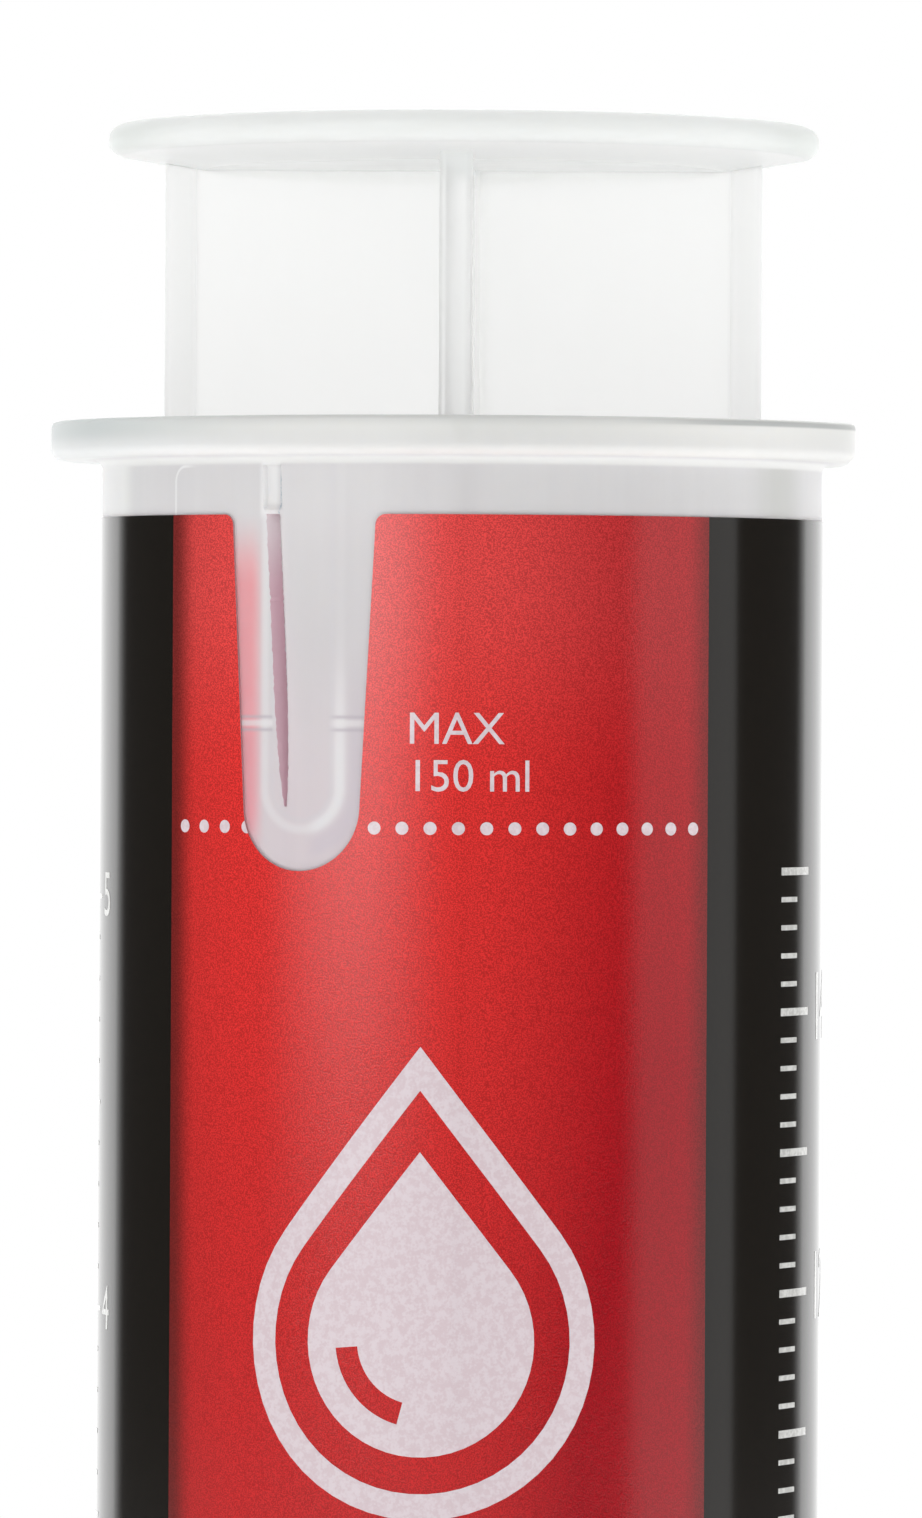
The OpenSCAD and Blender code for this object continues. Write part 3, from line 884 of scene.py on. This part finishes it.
def make_film():
    """Closed film: printed outside and inside, with its cut edges."""
    red, black, cut = range(3)
    columns = film_columns()
    rows = 14
    points = []
    for radius in (FILM_OUTER_R, FILM_OUTER_R - FILM_T):
        for angle, top_z in columns:
            points += [around(radius, angle, z) for z in between(FILM_FOOT_Z, top_z, rows)]
    layer = len(columns) * rows
    faces, looks = [], []
    for i in range(len(columns) - 1):
        middle = (columns[i][0] + columns[i + 1][0]) / 2
        ink = red if RED_FROM < middle < RED_TO else black
        for j in range(rows - 1):
            a, b = i * rows + j, (i + 1) * rows + j
            faces.append((a, b, b + 1, a + 1))
            faces.append((layer + a, layer + a + 1, layer + b + 1, layer + b))
            looks += [ink, ink]
        low, low_next = i * rows, (i + 1) * rows
        high, high_next = low + rows - 1, low_next + rows - 1
        faces.append((low, layer + low, layer + low_next, low_next))
        faces.append((high, high_next, layer + high_next, layer + high))
        looks += [cut, cut]
    last = (len(columns) - 1) * rows
    for j in range(rows - 1):
        faces.append((j, j + 1, layer + j + 1, layer + j))
        faces.append((last + j, layer + last + j, layer + last + j + 1, last + j + 1))
        looks += [cut, cut]
    return add_piece("label_film_sheet", points, faces, [RED_FILM, BLACK_FILM, FILM_EDGE], looks)


film = make_film()
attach(film, "barrel")
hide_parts("wrap_label")


# Print on the film

def wrap_flat(flat, angle, z):
    """Bends a flat mesh, in millimetres, onto the film with its origin at an angle and a height."""
    for vertex in flat.verts:
        x, y, lift = vertex.co
        turn = angle + math.degrees(x / FILM_OUTER_R)
        vertex.co = around(FILM_OUTER_R + lift, turn, z + y)


def split_upright(flat, step):
    """Cuts a flat mesh along upright lines so that it can bend."""
    low = min(vertex.co.x for vertex in flat.verts)
    high = max(vertex.co.x for vertex in flat.verts)
    for i in range(1, math.ceil((high - low) / step)):
        everything = flat.verts[:] + flat.edges[:] + flat.faces[:]
        bmesh.ops.bisect_plane(flat, geom=everything, plane_co=(low + i * step, 0, 0), plane_no=(1, 0, 0))


def flat_from_curve(curve):
    """Flat closed mesh, as thick as the ink, from a filled curve or text."""
    weld = 1e-5
    curve.extrude = (INK_T + INK_SINK) / 2
    holder = add_object("holder", curve)
    shown = holder.evaluated_get(bpy.context.evaluated_depsgraph_get())
    mesh = bpy.data.meshes.new_from_object(shown)
    flat = bmesh.new()
    flat.from_mesh(mesh)
    bmesh.ops.remove_doubles(flat, verts=flat.verts, dist=weld)
    bmesh.ops.translate(flat, verts=flat.verts, vec=(0, 0, (INK_T - INK_SINK) / 2))
    bpy.data.objects.remove(holder)
    bpy.data.curves.remove(curve)
    bpy.data.meshes.remove(mesh)
    return flat


def outlines_curve(*outlines):
    """Filled flat curve with one closed line per outline; a line inside another one is a hole."""
    curve = bpy.data.curves.new("outlines", "CURVE")
    curve.dimensions = "2D"
    curve.fill_mode = "BOTH"
    for outline in outlines:
        line = curve.splines.new("POLY")
        line.points.add(len(outline) - 1)
        for point, (x, y) in zip(line.points, outline):
            point.co = (x, y, 0.0, 1.0)
        line.use_cyclic_u = True
    return curve


def text_curve(words, height, across="CENTER"):
    """Filled text whose capitals are about height millimetres tall."""
    capital_share = 0.73
    curve = bpy.data.curves.new("words", "FONT")
    curve.body = words
    curve.size = height / capital_share
    curve.align_x = across
    curve.align_y = "CENTER"
    curve.resolution_u = 4
    return curve


def print_piece(name, marks, ink):
    """One piece of print: marks are (curve, angle, height)."""
    whole = bpy.data.meshes.new(name)
    joined = bmesh.new()
    for curve, angle, z in marks:
        flat = flat_from_curve(curve)
        split_upright(flat, BEND_STEP)
        wrap_flat(flat, angle, z)
        part = bpy.data.meshes.new("part")
        flat.to_mesh(part)
        joined.from_mesh(part)
        flat.free()
        bpy.data.meshes.remove(part)
    joined.to_mesh(whole)
    joined.free()
    whole.materials.append(ink)
    piece = add_object(name, whole)
    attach(piece, "barrel")


def tick(start, length_mm, thickness):
    """Level scale mark that starts at a distance from its origin."""
    half = thickness / 2
    end = start + length_mm
    return outlines_curve([(start, -half), (end, -half), (end, half), (start, half)])


def ounce_scale():
    """Ounce marks and numbers along the film's left edge, ten marks to the ounce."""
    ounces, tenths = 5, 10
    whole, half, tenth, thickness = 2.2, 1.6, 1.0, 0.28
    number_angle, number_height, indent_angle = -75.5, 2.7, 1.5
    start = math.radians(indent_angle) * FILM_OUTER_R
    marks = []
    for step in range(1, ounces * tenths + 1):
        z = SCALE_ZERO_Z + OUNCE_MM * step / tenths
        if z < FILM_FOOT_Z + 1:
            continue
        size = whole if step % tenths == 0 else half if step % (tenths // 2) == 0 else tenth
        marks.append((tick(start, size, thickness), FILM_START, z))
        if step % tenths == 0:
            marks.append((text_curve(str(step // tenths), number_height), number_angle, z))
    return marks


def millilitre_scale():
    """Millilitre marks and numbers on the black side to the right of the red panel."""
    first, last, step, long_every, number_every = 10, 150, 2, 10, 20
    long_mark, short_mark = (4.2, 0.45), (2.2, 0.3)
    mark_angle, number_angle, number_height = 61.0, 75.0, 4.2
    marks = []
    for volume in range(first, last + 1, step):
        z = SCALE_ZERO_Z + MILLILITRE_MM * volume
        size, thickness = short_mark if volume % long_every else long_mark
        marks.append((tick(0.0, size, thickness), mark_angle, z))
        if volume % number_every == 0:
            marks.append((text_curve(str(volume), number_height, "LEFT"), number_angle, z))
    return marks


def stop_dots():
    """Dotted line that shows how far the syringe is filled; the cut-out takes a bite out of one dot."""
    dot_r, dot_steps, first, pitch, count = 0.375, 24, -48.2, 4.35, 21
    gap_left, gap_right, bite_gap = 9.0, 9.5, 0.03
    marks = []
    for k in range(count):
        angle = first + pitch * k
        if CUTOUT_ANGLE - gap_left < angle < CUTOUT_ANGLE + gap_right:
            continue
        centre_x = math.radians(angle - CUTOUT_ANGLE) * FILM_OUTER_R
        outline = arc(0.0, 0.0, dot_r, 0.0, 360.0 - 360.0 / dot_steps, dot_steps)
        if abs(centre_x) < CUTOUT_R + dot_r:
            rises = [STOP_LINE_Z + y - CUTOUT_CENTRE_Z for _, y in outline]
            limits = [-math.sqrt(CUTOUT_R ** 2 - rise ** 2) - centre_x - bite_gap for rise in rises]
            outline = [(min(x, limit), y) for (x, y), limit in zip(outline, limits)]
        marks.append((outlines_curve(outline), angle, STOP_LINE_Z))
    return marks


def drop_outline(half_width, height):
    """Outline of a drop: a round belly that runs up to a point, centred on its belly."""
    tip, belly_steps = height - half_width, 40
    lean = math.degrees(math.asin(half_width / tip))
    belly = arc(0.0, 0.0, half_width, 180.0 - lean, 360.0 + lean, belly_steps)
    return belly + [(0.0, tip)]


def drop_mark():
    """Outlined drop with a full drop inside it, which has a glint."""
    drop_z = 100.0
    glint_out_r, glint_in_r = 4.9, 3.6
    glint_from, glint_to, glint_steps = 185.0, 255.0, 14
    frame_out = drop_outline(half_width=10.2, height=27.0)
    frame_in = drop_outline(half_width=8.7, height=23.0)
    core = drop_outline(half_width=6.6, height=17.4)
    glint = arc(0.0, 0.0, glint_out_r, glint_from, glint_to, glint_steps)
    glint += arc(0.0, 0.0, glint_in_r, glint_to, glint_from, glint_steps)
    curves = (outlines_curve(frame_out, frame_in), outlines_curve(core, glint))
    return [(curve, MARKS_ANGLE, drop_z) for curve in curves]


def chevron_marks():
    """Chevrons down the front that point towards the nozzle."""
    half, rise, thick = 7.0, 6.0, 4.0
    top_z, pitch, count = 66.0, 14.0, 3
    under = [(-half, rise), (0, 0), (half, rise)]
    over = [(x, y + thick) for x, y in reversed(under)]
    return [(outlines_curve(under + over), MARKS_ANGLE, top_z - pitch * k) for k in range(count)]


def fill_words():
    """Name of the dotted line, in two lines of print above it."""
    height, start_angle = 1.9, -8.4
    lines = (("MAX", 5.6), ("150 ml", 2.9))
    return [(text_curve(words, height, "LEFT"), start_angle, STOP_LINE_Z + rise) for words, rise in lines]


print_piece("stop_dots", stop_dots(), RED_SIDE_WHITE)
print_piece("fill_words", fill_words(), RED_SIDE_WHITE)
print_piece("drop_mark", drop_mark(), RED_SIDE_WHITE)
print_piece("chevron_marks", chevron_marks(), RED_SIDE_WHITE)
print_piece("ounce_scale", ounce_scale(), BLACK_SIDE_WHITE)
print_piece("millilitre_scale", millilitre_scale(), BLACK_SIDE_WHITE)


# Finish of the rod and the stopper

def dress(node, material):
    """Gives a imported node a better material."""
    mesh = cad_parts[node].data
    mesh.materials.clear()
    mesh.materials.append(material)


dress("plunger_rod", ROD_PLASTIC)
dress("stopper", STOPPER_RUBBER)


# Stage: floor, white surroundings, soft lamps and camera

def floor_paper():
    """Pale paper that fades into the white surroundings and throws less light back near the object."""
    material, tree, shader = start_material("floor_paper")
    path = add_node(tree, "ShaderNodeLightPath").outputs
    middle = from_axis(tree)
    lit = spread(tree, middle, low=20.0, high=120.0, to_high=0.8)
    set_shader(
        tree, shader, Base_Color=mix(tree, noise(tree, size=2.0, detail=3.0), PAPER_DARK, PAPER_PALE),
        Roughness=0.8, Emission_Color=(*WHITE, 1.0),
        Emission_Strength=product(tree, path["Is Diffuse Ray"], lit))
    glow = add_node(tree, "ShaderNodeEmission", [("Color", (*WHITE, 1.0)), ("Strength", 1.0)])
    shown = path["Is Camera Ray"]
    for kind in ("Is Glossy Ray", "Is Transmission Ray"):
        shown = math_node(tree, "MAXIMUM", shown, path[kind])
    fade = product(tree, spread(tree, middle, low=150.0, high=700.0), shown)
    surface = add_node(tree, "ShaderNodeMixShader", [
        (0, fade), (1, shader.outputs[0]), (2, glow.outputs[0])])
    tree.links.new(surface.outputs[0], tree.nodes["Material Output"].inputs["Surface"])
    return material


def make_floor():
    """Round pale floor under the nozzle."""
    inner_r, floor_r, ring_count, sides = 60.0, 1200.0, 20, 96
    points = [Vector((0, 0, NOZZLE_TIP_Z)) * MM]
    for ring in between(inner_r, floor_r, ring_count):
        points += [around(ring, 360.0 * k / sides, NOZZLE_TIP_Z) for k in range(sides)]
    faces = [(0, 1 + k, 1 + (k + 1) % sides) for k in range(sides)]
    for i in range(ring_count - 1):
        low, high = 1 + i * sides, 1 + (i + 1) * sides
        faces += [(low + k, high + k, high + (k + 1) % sides, low + (k + 1) % sides) for k in range(sides)]
    floor = add_piece("floor", points, faces, [floor_paper()])


def make_world():
    """White where it is seen; where it is mirrored, white behind the object and dark at the sides; and
    fill light mostly from behind and above."""
    white_to, dark_from, rise_part = math.radians(38.0), math.radians(46.0), 0.5
    world = bpy.data.worlds.new("studio")
    bpy.context.scene.world = world
    world.use_nodes = True
    tree = world.node_tree
    path = add_node(tree, "ShaderNodeLightPath").outputs
    outward = add_node(tree, "ShaderNodeTexCoord").outputs["Generated"]
    direction = add_node(tree, "ShaderNodeSeparateXYZ", [(0, outward)]).outputs
    turn = math_node(tree, "ABSOLUTE", math_node(tree, "ARCTAN2", direction["X"], direction["Y"]))
    backdrop = spread(tree, turn, white_to, dark_from, to_low=1.0, to_high=0.06)
    lean = math_node(tree, "ADD", direction["Y"], product(tree, direction["Z"], rise_part))
    fill = spread(tree, lean, low=-0.5, high=0.6, to_low=0.12)
    seen = math_node(tree, "MAXIMUM", path["Is Camera Ray"], path["Is Transmission Ray"])
    strength = blend(tree, seen, blend(tree, path["Is Glossy Ray"], fill, backdrop), 1.0)
    background = tree.nodes["Background"]
    background.inputs["Color"].default_value = (*WHITE, 1.0)
    tree.links.new(strength, background.inputs["Strength"])


def softbox(name, azimuth, elevation, distance, width, height, radiance, aim_z, lights=True):
    """Rectangular lamp aimed at the axis; azimuth is counted like the angles round the barrel.
    A lamp that doesn't light is only seen in gloss."""
    lamp = bpy.data.lights.new(name, "AREA")
    lamp.shape = "RECTANGLE"
    lamp.size = width * MM
    lamp.size_y = height * MM
    lamp.energy = radiance * math.pi * lamp.size * lamp.size_y
    holder = add_object(name, lamp)
    rise = math.radians(elevation)
    target = Vector((0, 0, aim_z)) * MM
    offset = around(distance * math.cos(rise), azimuth, distance * math.sin(rise))
    holder.location = target + offset
    holder.rotation_euler = (-offset).to_track_quat("-Z", "Y").to_euler()
    holder.visible_camera = False
    holder.visible_diffuse = lights
    holder.visible_transmission = lights
    return holder


def soften(holder, left, right, foot, head):
    """Lets a lamp's light fade in from its edges; each value is the share of its size that fades."""
    holder.data.use_nodes = True
    tree = holder.data.node_tree
    where = add_node(tree, "ShaderNodeNewGeometry").outputs["Parametric"]
    parts = add_node(tree, "ShaderNodeSeparateXYZ", [(0, where)])
    across, up = parts.outputs["X"], parts.outputs["Y"]
    level = product(
        tree, spread(tree, across, 0.0, left), spread(tree, across, 1.0, 1.0 - right),
        spread(tree, up, 0.0, foot), spread(tree, up, 1.0, 1.0 - head))
    tree.links.new(level, tree.nodes["Emission"].inputs["Strength"])


def make_lamps():
    """Key light, and the cards and the strip that the film and the plastic mirror."""
    softbox("key_softbox", azimuth=-26.0, elevation=28.0, distance=380.0, width=220.0, height=260.0,
            radiance=2.0, aim_z=150.0)
    softbox("back_card", azimuth=180.0, elevation=0.0, distance=900.0, width=1500.0, height=1400.0,
            radiance=0.57, aim_z=135.0, lights=False)
    glow_card = softbox("left_glow", azimuth=-34.0, elevation=6.3, distance=500.0, width=620.0,
                        height=250.0, radiance=4.0, aim_z=150.0, lights=False)
    soften(glow_card, left=0.5, right=0.5, foot=0.27, head=0.2)
    softbox("right_strip", azimuth=76.0, elevation=0.0, distance=600.0, width=440.0, height=1200.0,
            radiance=0.75, aim_z=100.0)


def make_camera():
    """Long lens at the photograph's place: a little below the flange's height, with a slight roll."""
    distance, eye_z, aim_z, roll = 655.0, 136.3, 133.1, 0.3
    camera = bpy.data.cameras.new("camera")
    camera.sensor_width = 36.0
    camera.lens = 264.0
    camera.clip_start = 0.01
    camera.clip_end = 20.0
    holder = add_object("camera", camera)
    pitch = math.degrees(math.atan2(eye_z - aim_z, distance))
    tilt = Matrix.Rotation(math.radians(90.0 - pitch), 4, "X")
    turn = tilt @ Matrix.Rotation(math.radians(roll), 4, "Z")
    holder.matrix_world = Matrix.Translation(Vector((0, -distance, eye_z)) * MM) @ turn
    bpy.context.scene.camera = holder


make_floor()
make_world()
make_lamps()
make_camera()
bpy.context.scene.view_settings.view_transform = "Standard"

bpy.context.view_layer.update()
